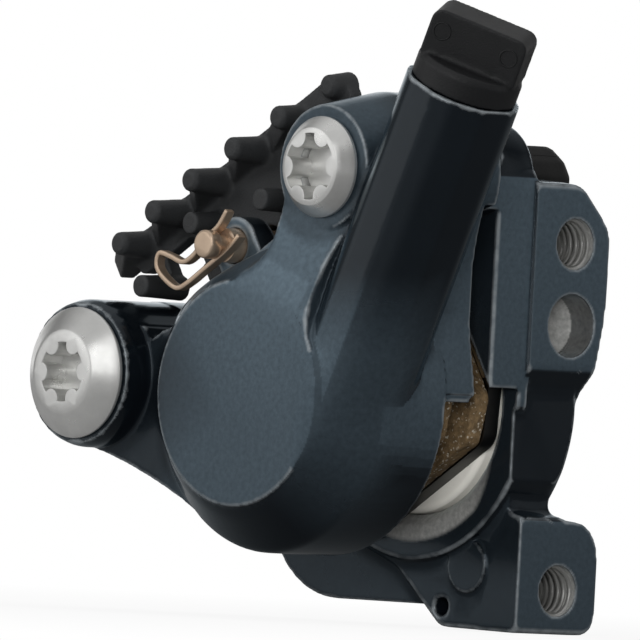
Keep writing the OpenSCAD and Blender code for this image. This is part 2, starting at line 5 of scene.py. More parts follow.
import bmesh
import bpy
import numpy as np
from mathutils import Matrix, Vector, noise
from mathutils.bvhtree import BVHTree
from mathutils.kdtree import KDTree


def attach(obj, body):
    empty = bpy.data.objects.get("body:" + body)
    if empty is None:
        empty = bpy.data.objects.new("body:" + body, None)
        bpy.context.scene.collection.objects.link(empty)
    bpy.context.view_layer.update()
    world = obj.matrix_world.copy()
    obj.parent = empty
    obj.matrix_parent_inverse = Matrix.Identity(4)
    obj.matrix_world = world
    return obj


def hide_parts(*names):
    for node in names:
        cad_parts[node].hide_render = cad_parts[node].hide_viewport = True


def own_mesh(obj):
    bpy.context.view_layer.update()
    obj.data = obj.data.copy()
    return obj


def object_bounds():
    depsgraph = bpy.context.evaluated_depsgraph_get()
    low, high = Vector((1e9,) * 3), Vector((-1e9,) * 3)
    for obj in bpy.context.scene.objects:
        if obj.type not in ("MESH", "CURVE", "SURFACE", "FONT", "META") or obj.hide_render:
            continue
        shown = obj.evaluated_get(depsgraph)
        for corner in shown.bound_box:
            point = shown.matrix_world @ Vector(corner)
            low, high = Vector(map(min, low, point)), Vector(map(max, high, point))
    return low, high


bl_info = {
    "name": "Disc Brake Caliper",
    "version": (1, 0, 0),
    "blender": (4, 5, 0),
    "location": "View3D > Sidebar > Caliper",
    "description": "Casts, finishes and lights a flat-mount hydraulic brake caliper",
    "category": "Object",
}

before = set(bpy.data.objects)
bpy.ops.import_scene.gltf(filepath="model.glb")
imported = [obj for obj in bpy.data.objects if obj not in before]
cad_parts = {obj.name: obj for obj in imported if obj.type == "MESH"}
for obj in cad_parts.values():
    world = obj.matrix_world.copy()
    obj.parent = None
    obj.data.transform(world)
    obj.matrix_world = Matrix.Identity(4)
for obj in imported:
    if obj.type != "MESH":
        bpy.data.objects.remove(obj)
CAD_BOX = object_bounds()
MM = 0.001
MOUNT_SPACING = 34
THREAD_RADIUS = 2.53 * MM
PIN_BEAD = 0.09 * MM

# Lines that the CAD model turns its pieces about, in millimetres.
PISTON_LINE = ((0, -14.7, 0.8), (1, 0, 0))
UPPER_BOLT_LINE = ((0, -6.55, 23.18), (1, 0, 0))
LOWER_BOLT_LINE = ((0, -39.59, 1.9), (1, 0, 0))
PORT_LINE = ((25, 8.7, 31.5), (0, 0.4067, 0.9135))
BLEED_LINE = ((-4.5, -10.9, 0), (0, 0, 1))
UPPER_MOUNT_LINE = ((0, 0, MOUNT_SPACING / 2), (0, 1, 0))
LOWER_MOUNT_LINE = ((0, 0, -MOUNT_SPACING / 2), (0, 1, 0))
LIGHT_HOLE_LINE = ((0, 0, 9), (0, 1, 0))
GROOVE_LINE = ((29, -3.1, 12.6), (0, 0.316, 0.949))
NECK_FOOT = (30.8, -10.7, 11.7)
BLANK_BOSS_LINE = ((0, -7.1, -15), (1, 0, 0))
PORT_PLACE = Matrix.Translation(Vector(PORT_LINE[0]) * MM) @ Matrix.Rotation(math.radians(-24), 4, "X")


class CaliperSizes(bpy.types.PropertyGroup):
    """Sizes of the finished surfaces"""

    cast_grid: bpy.props.FloatProperty(
        name="Casting grid", description="Spacing of the points on a painted half",
        default=0.2 * MM, unit="LENGTH")
    cast_keep: bpy.props.FloatProperty(
        name="Casting keep", description="Share of a half's triangles that is kept",
        subtype="FACTOR", default=0.38)
    cast_edge: bpy.props.FloatProperty(
        name="Casting edge", description="Round on the outer edges of a casting",
        default=0.4 * MM, unit="LENGTH")
    cast_fillet: bpy.props.FloatProperty(
        name="Casting fillet", description="Round in the inner corners of a casting",
        default=1.3 * MM, unit="LENGTH")
    fin_grid: bpy.props.FloatProperty(
        name="Fin grid", description="Spacing of the points on the cooling fins",
        default=0.17 * MM, unit="LENGTH")
    thread_pitch: bpy.props.FloatProperty(
        name="Thread pitch", description="Pitch of the mount threads", default=0.8 * MM, unit="LENGTH")
    thread_height: bpy.props.FloatProperty(
        name="Thread height", description="Height of a thread ridge", default=0.4 * MM, unit="LENGTH")
    thread_turns: bpy.props.FloatProperty(
        name="Thread turns", description="Turns of thread in a mount hole", default=8.4, min=1, max=12)
    pin_mark_width: bpy.props.FloatProperty(
        name="Pin mark", description="Diameter of an ejector pin mark on the plug",
        default=1.7 * MM, unit="LENGTH")
    grit_height: bpy.props.FloatProperty(
        name="Grit height", description="Roughness of the friction blocks",
        default=0.07 * MM, unit="LENGTH")


class CaliperColours(bpy.types.PropertyGroup):
    """Colours of the finishes"""

    paint: bpy.props.FloatVectorProperty(
        name="Paint", description="Glossy dark paint on the cast skin of the two halves",
        subtype="COLOR", size=4,
        default=(0.007, 0.010, 0.014, 1))
    # Paler colour of the machined flats; its mask also carries painted light from above, painted shade and a
    # painted highlight.
    satin: bpy.props.FloatVectorProperty(
        name="Satin", description="The same paint over machined flats", subtype="COLOR", size=4,
        default=(0.145, 0.200, 0.245, 1))
    # Paint rubbed thin along an edge, and also a painted highlight along the edges.
    worn_paint: bpy.props.FloatVectorProperty(
        name="Worn paint", description="Paint rubbed thin along an edge", subtype="COLOR", size=4,
        default=(0.34, 0.37, 0.39, 1))
    bare_alloy: bpy.props.FloatVectorProperty(
        name="Bare alloy", description="Machined surface without paint", subtype="COLOR", size=4,
        default=(0.58, 0.58, 0.56, 1))
    steel: bpy.props.FloatVectorProperty(
        name="Bolt steel", description="Satin steel of the bolts", subtype="COLOR", size=4,
        default=(0.88, 0.88, 0.86, 1))
    gold: bpy.props.FloatVectorProperty(
        name="Gold steel", description="Coated steel of the pad axle and its clip", subtype="COLOR", size=4,
        default=(0.76, 0.58, 0.43, 1))
    ceramic: bpy.props.FloatVectorProperty(
        name="Ceramic", description="Off-white pistons", subtype="COLOR", size=4,
        default=(0.88, 0.86, 0.79, 1))
    friction: bpy.props.FloatVectorProperty(
        name="Friction resin", description="Binder of the friction blocks", subtype="COLOR", size=4,
        default=(0.20, 0.135, 0.070, 1))
    fin_black: bpy.props.FloatVectorProperty(
        name="Fin black", description="Matt coat of the cooling fins", subtype="COLOR", size=4,
        default=(0.019, 0.020, 0.021, 1))
    plug_black: bpy.props.FloatVectorProperty(
        name="Plug black", description="Plastic of the port plug", subtype="COLOR", size=4,
        default=(0.006, 0.0063, 0.0068, 1))
    rubber: bpy.props.FloatVectorProperty(
        name="Rubber", description="Seals and bleed cap", subtype="COLOR", size=4,
        default=(0.006, 0.006, 0.006, 1))
    plate: bpy.props.FloatVectorProperty(
        name="Plate steel", description="Backing plates, rivets and return spring", subtype="COLOR", size=4,
        default=(0.09, 0.088, 0.084, 1))


def sizes():
    return bpy.context.scene.caliper_sizes


def colours():
    return bpy.context.scene.caliper_colours


# Mesh tools

# How far two neighbouring points of a casting turn, in degrees, to count as a curve, a corner or an edge.
CURVE_TURN = 1.5
CORNER_TURN = 20
EDGE_TURN = 25
# Share of the grid within which a point is set on a CAD edge, and share of the way a point moves in a round.
EDGE_REACH = 0.55
EASE_STEP = 0.6
# Least share of easing that an edge gets in a crisp region, and how strongly a bulge shows as a rubbed edge
# with a painted highlight.
LEAST_EASE = 0.55
RIDGE_GAIN = 22


def linked(name, mesh):
    obj = bpy.data.objects.new(name, mesh)
    bpy.context.scene.collection.objects.link(obj)
    return obj


def applied(obj):
    """The object's evaluated mesh, taken in place of its modifiers."""
    bpy.context.view_layer.update()
    mesh = bpy.data.meshes.new_from_object(obj.evaluated_get(bpy.context.evaluated_depsgraph_get()))
    obj.modifiers.clear()
    obj.data = mesh
    return mesh


def welded(node, scale=1.0):
    """A copy of a CAD node's loose triangles, joined into closed shells."""
    bm = bmesh.new()
    bm.from_mesh(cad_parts[node].data)
    bmesh.ops.remove_doubles(bm, verts=bm.verts, dist=2e-6)
    bmesh.ops.dissolve_degenerate(bm, edges=bm.edges, dist=1e-6)
    bmesh.ops.scale(bm, vec=(scale,) * 3, verts=bm.verts)
    mesh = bpy.data.meshes.new(node + ".copy")
    bm.to_mesh(mesh)
    bm.free()
    return mesh


def points_of(mesh):
    co = np.zeros(len(mesh.vertices) * 3)
    mesh.vertices.foreach_get("co", co)
    return co.reshape(-1, 3)


def edges_of(mesh):
    pairs = np.zeros(len(mesh.edges) * 2, np.int32)
    mesh.edges.foreach_get("vertices", pairs)
    return pairs.reshape(-1, 2)


def neighbour_mean(values, pairs):
    """Mean of each point's neighbours along the mesh edges."""
    a, b = pairs.T
    n = len(values)
    count = np.maximum(np.bincount(pairs.ravel(), minlength=n), 1)
    total = [np.bincount(a, v[b], n) + np.bincount(b, v[a], n) for v in values.T]
    return np.stack(total, 1) / count[:, None]


def eased(co, pairs, weight, rounds):
    """Points drawn towards their neighbours, each by its own weight."""
    for _ in range(rounds):
        co = co + EASE_STEP * weight[:, None] * (neighbour_mean(co, pairs) - co)
    return co


def spread(mark, pairs, rings, keep):
    """A mark that fades out over rings of neighbours."""
    for _ in range(rings):
        grown = mark.copy()
        np.maximum.at(grown, pairs[:, 0], keep * mark[pairs[:, 1]])
        np.maximum.at(grown, pairs[:, 1], keep * mark[pairs[:, 0]])
        mark = grown
    return mark


def off_line(co, line):
    """Distance of points from a line."""
    start, way = np.array(line[0], float), np.array(line[1], float)
    way /= np.linalg.norm(way)
    away = co - start
    return np.linalg.norm(away - (away @ way)[:, None] * way, axis=1)


def put_attribute(mesh, name, values):
    layer = mesh.attributes.new(name, "FLOAT", "POINT")
    layer.data.foreach_set("value", np.asarray(values, np.float32))


def rounds_for(size, grid):
    """How many rounds of easing give a round of this size on a grid."""
    return max(1, round(1.5 * (size / grid) ** 2))


def ramp(distance, limit, blur=0.6):
    """1 well inside a limit and 0 well outside it."""
    return np.clip(0.5 + (limit - distance) / blur, 0, 1)


def edge_points(mesh, angle, step):
    """Points set along the sharp edges of a mesh, to search."""
    bm = bmesh.new()
    bm.from_mesh(mesh)
    points = []
    for edge in bm.edges:
        if edge.is_manifold and edge.calc_face_angle() > math.radians(angle):
            a, b = (v.co for v in edge.verts)
            count = max(1, math.ceil(edge.calc_length() / step))
            points += [a.lerp(b, i / count) for i in range(count + 1)]
    bm.free()
    tree = KDTree(len(points))
    for i, point in enumerate(points):
        tree.insert(point, i)
    tree.balance()
    return tree


def cast_copy(node, name, grid, edge_size, fillet_size, crisp=None, settled=(), masks=None, keep=1.0,
              grit=0.0):
    """A closed copy of a CAD solid with the eased edges and filled corners of a casting.

    crisp(co) marks regions that keep their corners, settled lists (centre, radius, size) where forms flow
    together, masks names functions of place and facing that become attributes. Places are in millimetres.
    """
    source = welded(node, 1 / MM)
    tree = BVHTree.FromPolygons([v.co for v in source.vertices], [p.vertices for p in source.polygons])
    obj = linked(name, source)
    skin = obj.modifiers.new("Skin", "REMESH")
    skin.mode = "VOXEL"
    skin.voxel_size = grid / MM
    mesh = applied(obj)
    pairs = edges_of(mesh)
    found = [tree.find_nearest(p) for p in points_of(mesh)]
    corners = edge_points(source, EDGE_TURN, 0.25 * grid / MM)
    snapped = [corners.find(f[0]) for f in found]
    co = np.array([s[0] if s[2] < EDGE_REACH * grid / MM else f[0] for f, s in zip(found, snapped)])
    facing = np.array([f[1] for f in found])
    first, second = pairs.T
    bend = np.degrees(np.arccos(np.clip((facing[first] * facing[second]).sum(1), -1, 1)))
    hollow = ((facing[first] - facing[second]) * (co[first] - co[second])).sum(1) < 0
    curved, edge, corner = np.zeros((3, len(co)))
    curved[pairs[bend > CURVE_TURN].ravel()] = 1
    edge[pairs[(bend > EDGE_TURN) & ~hollow].ravel()] = 1
    corner[pairs[(bend > CORNER_TURN) & hollow].ravel()] = 1
    soft = 1 - (0 if crisp is None else crisp(co))
    edge = spread(edge, pairs, 3, 0.75)
    corner = spread(corner, pairs, round(1.5 * fillet_size / grid), 0.9) * soft
    co = eased(co, pairs, 0.8 * spread(curved, pairs, 5, 0.9) * (1 - edge), 12)
    co = eased(co, pairs, corner * (1 - edge), rounds_for(fillet_size, grid))
    co = eased(co, pairs, edge * np.maximum(soft, LEAST_EASE), rounds_for(edge_size, grid))
    calm = np.zeros(len(co))
    for centre, reach, size in settled:
        near = np.clip(1.6 - 1.6 * np.linalg.norm(co - np.array(centre), axis=1) / reach, 0, 1)
        co = eased(co, pairs, near, rounds_for(size * MM, grid))
        calm = np.maximum(calm, near)
    if grit:
        rough = np.array([noise.noise(Vector(p) * 2.3) + 0.6 * noise.noise(Vector(p) * 5.1) for p in co])
        co = co + facing * (grit / MM * rough)[:, None]
    bulge = co - neighbour_mean(co, pairs)
    ridge = np.clip((bulge * facing).sum(1) / (grid / MM) * RIDGE_GAIN - 0.5, 0, 1) * (1 - calm)
    values = {"ridge": neighbour_mean(ridge[:, None], pairs)[:, 0]}
    for mask, rule in (masks or {}).items():
        values[mask] = rule(co, facing)
    for mask, value in values.items():
        put_attribute(mesh, mask, value)
    mesh.vertices.foreach_set("co", (co * MM).astype(np.float32).ravel())
    mesh.update()
    if keep < 1:
        change = sum(np.abs(v - neighbour_mean(v[:, None], pairs)[:, 0]) for v in values.values())
        mesh = thinned(obj, spread((change > 0.01).astype(float), pairs, 1, 1.0) > 0, keep)
    mesh.shade_smooth()
    bpy.data.meshes.remove(source)
    return obj


def thinned(obj, fine, keep):
    """The object's mesh with fewer triangles, except around the points marked fine."""
    plain = obj.vertex_groups.new(name="plain")
    plain.add(np.flatnonzero(~fine).tolist(), 1.0, "REPLACE")
    thin = obj.modifiers.new("Thin", "DECIMATE")
    thin.ratio = keep
    thin.vertex_group = plain.name
    thin.vertex_group_factor = 1000
    mesh = applied(obj)
    obj.vertex_groups.clear()
    return mesh


def edged_copy(node, name, width, segments=2, angle=30):
    """A copy of a CAD solid whose sharp edges are broken by a small round."""
    mesh = welded(node)
    bm = bmesh.new()
    bm.from_mesh(mesh)
    bmesh.ops.dissolve_limit(bm, angle_limit=math.radians(0.1), verts=bm.verts, edges=bm.edges)
    outer = [e for e in bm.edges if e.is_manifold and e.is_convex]
    crisp = [e for e in outer if e.calc_face_angle() > math.radians(angle)]
    bmesh.ops.bevel(bm, geom=crisp, offset=width, segments=segments, profile=0.5, affect="EDGES",
                    clamp_overlap=True, loop_slide=True)
    bmesh.ops.triangulate(bm, faces=[f for f in bm.faces if len(f.verts) > 4])
    bm.to_mesh(mesh)
    bm.free()
    mesh.shade_smooth()
    mesh.set_sharp_from_angle(angle=math.radians(0.8 * angle))
    obj = linked(name, mesh)
    flats = obj.modifiers.new("Flats", "WEIGHTED_NORMAL")
    flats.weight = 100
    flats.keep_sharp = True
    applied(obj)
    return obj


def finished(obj, material, body, slot, *nodes):
    """Give a piece its material and its place in the mechanism."""
    obj.data.materials.clear()
    obj.data.materials.append(material)
    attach(obj, body)
    if nodes:
        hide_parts(*nodes)
    return obj


# Node tools


class Tree:
    """A short way to add nodes to a tree and join them."""

    def __init__(self, tree):
        self.tree = tree

    def add(self, kind, values=(), **settings):
        node = self.tree.nodes.new(kind)
        for key, value in settings.items():
            setattr(node, key, value)
        for key, value in dict(values).items():
            if isinstance(value, bpy.types.NodeSocket):
                self.tree.links.new(value, node.inputs[key])
            else:
                node.inputs[key].default_value = value
        return node

    def math(self, operation, a, b=0.0):
        return self.add("ShaderNodeMath", {0: a, 1: b}, operation=operation).outputs[0]

    def blend(self, mask, a, b):
        node = self.add("ShaderNodeMix", {"Factor": mask}, data_type="RGBA")
        for key, value in (("A", a), ("B", b)):
            socket = next(s for s in node.inputs if s.name == key and s.type == "RGBA")
            if isinstance(value, bpy.types.NodeSocket):
                self.tree.links.new(value, socket)
            else:
                socket.default_value = value
        return next(s for s in node.outputs if s.type == "RGBA")

    def along(self, place, way):
        """How far a place lies along a direction."""
        return self.add("ShaderNodeVectorMath", {0: place, 1: way}, operation="DOT_PRODUCT").outputs["Value"]

    def circle(self, resolution, radius):
        values = {"Resolution": resolution, "Radius": radius}
        return self.add("GeometryNodeCurvePrimitiveCircle", values, mode="RADIUS").outputs[0]

    def swept(self, path, outline, capped=False):
        values = {"Curve": path, "Profile Curve": outline, "Fill Caps": capped}
        return self.add("GeometryNodeCurveToMesh", values).outputs[0]

    def put_out(self, points, piece, turn, material):
        """End a geometry tree with a piece set on points, made real and given its material."""
        values = {"Points": points, "Instance": piece, "Rotation": turn}
        placed = self.add("GeometryNodeInstanceOnPoints", values)
        real = self.add("GeometryNodeRealizeInstances", {"Geometry": placed.outputs[0]})
        coated = self.add("GeometryNodeSetMaterial", {"Geometry": real.outputs[0], "Material": material})
        self.add("NodeGroupOutput", {"Geometry": coated.outputs[0]})

    def span(self, value, low, high, to_low, to_high):
        node = self.add("ShaderNodeMapRange", {"Value": value, "From Min": low, "From Max": high,
                                               "To Min": to_low, "To Max": to_high})
        return node.outputs["Result"]


def shader_group(name, inputs, outputs):
    """An empty shader node group with its sockets."""
    group = bpy.data.node_groups.new(name, "ShaderNodeTree")
    for label, kind, default in inputs:
        socket = group.interface.new_socket(label, in_out="INPUT", socket_type=kind)
        if default is not None:
            socket.default_value = default
    for label, kind in outputs:
        group.interface.new_socket(label, in_out="OUTPUT", socket_type=kind)
    tree = Tree(group)
    return group, tree, tree.add("NodeGroupInput").outputs, tree.add("NodeGroupOutput").inputs


def edge_wear_group():
    """Mask of rubbed edges and painted edge highlights, broken up by a fine noise."""
    group, t, given, out = shader_group(
        "EdgeWearAndHighlight", [("Vector", "NodeSocketVector", None), ("Amount", "NodeSocketFloat", 1.0)],
        [("Mask", "NodeSocketFloat")])
    ridge = t.add("ShaderNodeAttribute", attribute_name="ridge").outputs["Fac"]
    patchy = t.add("ShaderNodeTexNoise", {"Vector": given["Vector"], "Scale": 900.0, "Detail": 4.0})
    line = t.span(ridge, 0.12, 0.7, 0.0, 1.0)
    broken = t.math("MULTIPLY", line, t.span(patchy.outputs["Fac"], 0.3, 0.6, 0.45, 1.0))
    t.tree.links.new(t.math("MULTIPLY", broken, given["Amount"]), out["Mask"])
    return group


def cast_grain_group():
    """Fine skin of a casting or moulding: a height and a cloudy mask."""
    group, t, given, out = shader_group(
        "CastGrain", [("Vector", "NodeSocketVector", None), ("Grain", "NodeSocketFloat", 3000.0),
                      ("Cloud", "NodeSocketFloat", 120.0)],
        [("Height", "NodeSocketFloat"), ("Cloud", "NodeSocketFloat")])
    fine = t.add("ShaderNodeTexNoise", {"Vector": given["Vector"], "Scale": given["Grain"], "Detail": 3.0,
                                        "Roughness": 0.6})
    cloud = t.add("ShaderNodeTexNoise", {"Vector": given["Vector"], "Scale": given["Cloud"], "Detail": 5.0,
                                         "Roughness": 0.6})
    t.tree.links.new(fine.outputs["Fac"], out["Height"])
    t.tree.links.new(t.span(cloud.outputs["Fac"], 0.3, 0.7, 0.0, 1.0), out["Cloud"])
    return group


def turned_rings_group():
    """Fine rings left by a lathe, about the z axis of the given vector."""
    group, t, given, out = shader_group(
        "TurnedRings", [("Vector", "NodeSocketVector", None), ("Rings", "NodeSocketFloat", 9000.0)],
        [("Height", "NodeSocketFloat")])
    split = t.add("ShaderNodeSeparateXYZ", {"Vector": given["Vector"]}).outputs
    radius = t.math("SQRT", t.math("ADD", t.math("MULTIPLY", split["X"], split["X"]),
                                   t.math("MULTIPLY", split["Y"], split["Y"])))
    outwards = t.math("MULTIPLY", radius, given["Rings"])
    along = t.math("ADD", outwards, t.math("MULTIPLY", split["Z"], given["Rings"]))
    rings = t.add("ShaderNodeTexNoise", {"W": along, "Scale": 1.0, "Detail": 2.0}, noise_dimensions="1D")
    t.tree.links.new(rings.outputs["Fac"], out["Height"])
    return group


def effect(name):
    """A shader group, built the first time that it is asked for."""
    makers = {"EdgeWearAndHighlight": edge_wear_group, "CastGrain": cast_grain_group, "TurnedRings": turned_rings_group}
    return bpy.data.node_groups.get(name) or makers[name]()


FINISH = "_finish"


def shaded(colour, share):
    """A colour made darker or paler."""
    return tuple(share * v for v in colour[:3]) + (1,)


def new_material(name):
    """A material with its tree, its shader and Object coordinates."""
    material = bpy.data.materials.new(name + FINISH)
    material.use_nodes = True
    t = Tree(material.node_tree)
    shader = material.node_tree.nodes["Principled BSDF"]
    place = t.add("ShaderNodeTexCoord").outputs["Object"]
    return material, t, shader, place


def use_effect(t, name, values):
    return t.add("ShaderNodeGroup", values, node_tree=effect(name)).outputs


def bumped(t, shader, height, strength, distance):
    bump = t.add("ShaderNodeBump", {"Height": height, "Strength": strength, "Distance": distance})
    t.tree.links.new(bump.outputs["Normal"], shader.inputs["Normal"])


def lathe_rings(t, place, line):
    """Height of the fine rings that a cutter leaves about a line."""
    start, way = Vector(line[0]) * MM, Vector(line[1])
    turn = way.rotation_difference(Vector((0, 0, 1))).to_euler()
    shift = -(turn.to_matrix() @ start)
    centred = t.add("ShaderNodeMapping", {"Vector": place, "Location": shift, "Rotation": turn})
    return use_effect(t, "TurnedRings", {"Vector": centred.outputs[0]})["Height"]


def join(t, shader, **sockets):
    for key, socket in sockets.items():
        t.tree.links.new(socket, shader.inputs[key.replace("_", " ")])


def once(maker):
    """The material of a maker, built only once."""
    return bpy.data.materials.get(maker.__name__ + FINISH) or maker()


def body_paint():
    """Slate paint: glossy on the cast skin, paler and rougher on machined flats, where painted light and
    painted shade also sit, thin on edges with a painted edge highlight, missing in the bores.
    """
    c = colours()
    material, t, shader, place = new_material("body_paint")
    grain = use_effect(t, "CastGrain", {"Vector": place, "Grain": 2600.0, "Cloud": 90.0})
    speckle = use_effect(t, "CastGrain", {"Vector": place, "Grain": 5200.0, "Cloud": 1900.0})
    wear_and_highlight = use_effect(t, "EdgeWearAndHighlight", {"Vector": place, "Amount": 0.85})["Mask"]
    bare = t.add("ShaderNodeAttribute", attribute_name="bare").outputs["Fac"]
    # Machined flats mask: a paler, rougher finish that also carries painted light from above, painted shade
    # and a painted highlight.
    satin = t.add("ShaderNodeAttribute", attribute_name="satin").outputs["Fac"]
    gloss_paint = t.blend(grain["Cloud"], shaded(c.paint, 0.75), tuple(c.paint))
    satin_paint = t.blend(speckle["Cloud"], shaded(c.satin, 0.78), shaded(c.satin, 1.12))
    # Edges painted paler: partly rubbed paint, partly a painted edge highlight.
    worn_and_highlit = t.blend(wear_and_highlight, t.blend(satin, gloss_paint, satin_paint), tuple(c.worn_paint))
    alloy = t.blend(speckle["Cloud"], shaded(c.bare_alloy, 0.6), tuple(c.bare_alloy))
    polish = t.math("ADD", t.span(satin, 0, 0.4, 0.2, 0.42), t.span(grain["Cloud"], 0, 1, -0.04, 0.04))
    join(t, shader, Base_Color=t.blend(bare, worn_and_highlit, alloy),
         Roughness=t.math("ADD", polish, t.math("MULTIPLY", bare, 0.25)),
         Coat_Weight=t.math("MULTIPLY", t.span(satin, 0, 0.4, 0.3, 0.1), t.span(bare, 0, 1, 1.0, 0.0)))
    shader.inputs["Metallic"].default_value = 0.5
    shader.inputs["Specular Tint"].default_value = (0.7, 0.88, 1.0, 1)
    shader.inputs["Coat Roughness"].default_value = 0.08
    skin = t.math("MULTIPLY", grain["Height"], t.span(satin, 0, 0.4, 0.4, 1.0))
    cut = t.math("MULTIPLY", lathe_rings(t, place, LIGHT_HOLE_LINE), t.math("MULTIPLY", bare, 3.0))
    bumped(t, shader, t.math("ADD", skin, cut), 0.14, 0.00006)
    return material


def metal(name, colour, roughness, line=None, shine=1.0):
    """Bare or plated metal with a cloudy polish, and turning rings where it was turned."""
    material, t, shader, place = new_material(name)
    grain = use_effect(t, "CastGrain", {"Vector": place, "Grain": 5200.0, "Cloud": 260.0})
    dull = shaded(colour, 0.82)
    join(t, shader, Base_Color=t.blend(grain["Cloud"], dull, tuple(colour)),
         Roughness=t.span(grain["Cloud"], 0, 1, roughness + 0.06, roughness - 0.04))
    shader.inputs["Metallic"].default_value = shine
    height = grain["Height"] if line is None else lathe_rings(t, place, line)
    bumped(t, shader, height, 0.06, 0.00005)
    return material


def upper_bolt_steel():
    return metal("upper_bolt_steel", colours().steel, 0.3, UPPER_BOLT_LINE, 0.85)


def lower_bolt_steel():
    return metal("lower_bolt_steel", colours().steel, 0.3, LOWER_BOLT_LINE, 0.85)


def gold_steel():
    return metal("gold_steel", colours().gold, 0.3, shine=0.85)


def plate_steel():
    return metal("plate_steel", colours().plate, 0.42)


def spring_steel():
    return metal("spring_steel", colours().steel, 0.3)


def nipple_steel():
    return metal("nipple_steel", colours().steel, 0.26, BLEED_LINE)


def thread_alloy():
    return metal("thread_alloy", colours().bare_alloy, 0.33, shine=0.85)


def moulded(name, colour, roughness, grain_size, depth):
    """Dark moulded or coated surface with a fine grain and paler edges, partly rubbed and partly a painted
    highlight.
    """
    material, t, shader, place = new_material(name)
    grain = use_effect(t, "CastGrain", {"Vector": place, "Grain": grain_size, "Cloud": 150.0})
    wear_and_highlight = use_effect(t, "EdgeWearAndHighlight", {"Vector": place, "Amount": 0.35})["Mask"]
    # Paler edges: partly rubbed, partly a painted edge highlight.
    pale = shaded(colour, 1.9)
    dusty = t.blend(grain["Cloud"], tuple(colour), shaded(colour, 1.35))
    join(t, shader, Base_Color=t.blend(wear_and_highlight, dusty, pale),
         Roughness=t.span(grain["Cloud"], 0, 1, roughness, roughness + 0.12))
    bumped(t, shader, grain["Height"], depth, 0.00012)
    return material


def fin_black():
    return moulded("fin_black", colours().fin_black, 0.52, 4200.0, 0.5)


def plug_plastic():
    return moulded("plug_plastic", colours().plug_black, 0.46, 5200.0, 0.3)


def cap_rubber():
    return moulded("cap_rubber", colours().rubber, 0.6, 3600.0, 0.35)


def piston_ceramic():
    """Off-white piston with faint rings and a little grey dust."""
    c = colours()
    material, t, shader, place = new_material("piston_ceramic")
    grain = use_effect(t, "CastGrain", {"Vector": place, "Grain": 4000.0, "Cloud": 180.0})
    grey = shaded(c.ceramic, 0.85)
    join(t, shader, Base_Color=t.blend(grain["Cloud"], grey, tuple(c.ceramic)),
         Roughness=t.span(grain["Cloud"], 0, 1, 0.42, 0.3))
    bumped(t, shader, grain["Height"], 0.12, 0.00005)
    return material


def friction_resin():
    """Brown resin filled with pale and dark grit."""
    c = colours()
    material, t, shader, place = new_material("friction_resin")
    cells = t.add("ShaderNodeTexVoronoi", {"Vector": place, "Scale": 5200.0})
    shade = t.add("ShaderNodeSeparateColor", {"Color": cells.outputs["Color"]}).outputs[0]
    clumps = t.add("ShaderNodeTexNoise", {"Vector": place, "Scale": 1500.0, "Detail": 6.0, "Roughness": 0.75})
    dark = shaded(c.friction, 0.4)
    binder = t.blend(t.span(clumps.outputs["Fac"], 0.35, 0.65, 0, 1), dark, tuple(c.friction))
    specks = t.blend(t.span(shade, 0.9, 0.97, 0, 1), binder, (0.40, 0.37, 0.31, 1))
    join(t, shader, Base_Color=specks, Roughness=t.span(shade, 0, 1, 0.75, 0.95))
    bumped(t, shader, clumps.outputs["Fac"], 0.8, 0.0002)
    return material


# Regions of the two halves, in millimetres


def hose_half_crisp(co):
    seats = (off_line(co, UPPER_BOLT_LINE) < 6.3) | (off_line(co, LOWER_BOLT_LINE) < 7.6)
    mouth = (off_line(co, PORT_LINE) < 6.2) & (co[:, 2] > 27)
    bore = (off_line(co, PISTON_LINE) < 13.6) & (co[:, 0] < 28)
    disc = (off_line(co, PISTON_LINE) < 11.6) & (co[:, 0] > 30.4)
    slot = co[:, 0] < 18.5
    groove = (off_line(co, GROOVE_LINE) < 3.4) & (np.abs(co[:, 2] - GROOVE_LINE[0][2]) < 9)
    return np.where(seats | bore | slot | groove, 1.0, np.where(disc | mouth, 0.8, 0.0))


def hose_half_bare(co, facing):
    bore = ramp(off_line(co, PISTON_LINE), 12.4) * ramp(co[:, 0], 27.5)
    port = ramp(off_line(co, PORT_LINE), 4.6) * ramp(-co[:, 2], -16)
    holes = ramp(np.minimum(off_line(co, UPPER_BOLT_LINE), off_line(co, LOWER_BOLT_LINE)), 3.4)
    return np.maximum(np.maximum(bore, port), holes)


def hose_half_satin(co, facing):
    """Machined faces that look along the axle or out of the mount face, and the shell beside the disc; the
    mask also carries painted light: paler near the upper bolt, darker round the lower bolt, a painted shade
    ring round the upper bolt's head, and a painted highlight on the shell towards the upper right.
    """
    # Painted light from above: the machined faces are painted paler near the upper bolt.
    painted_top_light = 0.42 + 0.58 * np.exp(-(off_line(co, UPPER_BOLT_LINE) / 15) ** 2)
    # Painted shade: darker round the lower bolt, and a painted shade ring round the upper bolt's head.
    arm = 1 - 0.9 * ramp(off_line(co, LOWER_BOLT_LINE), 16, 6)
    seat = 1 - 0.75 * ramp(off_line(co, UPPER_BOLT_LINE), 7.2, 1.5)
    joint = ramp(np.linalg.norm(co - np.array(NECK_FOOT), axis=1), 5, 1) * ramp(-co[:, 0], -30, 0.4)
    ends = np.maximum(ramp(-facing[:, 0], -0.93, 0.08), joint) * painted_top_light * arm * seat
    side = 0.4 * ramp(-facing[:, 1], -0.93, 0.08) * ramp(-co[:, 1], 3)
    away = co[:, 1:] - np.array(PISTON_LINE[0][1:])
    away /= np.maximum(np.linalg.norm(away, axis=1), 1)[:, None]
    # Painted highlight on the shell beside the disc, paler towards the upper right.
    shell = np.clip(0.06 + 0.3 * away[:, 0] + 0.2 * away[:, 1], 0, 0.3) * ramp(-co[:, 0], -23, 4)
    tube = ramp(off_line(co, PORT_LINE), 6.4, 1.5) * ramp(-co[:, 2], -9, 8)
    return np.maximum(np.maximum(ends, side), shell) * (1 - tube)


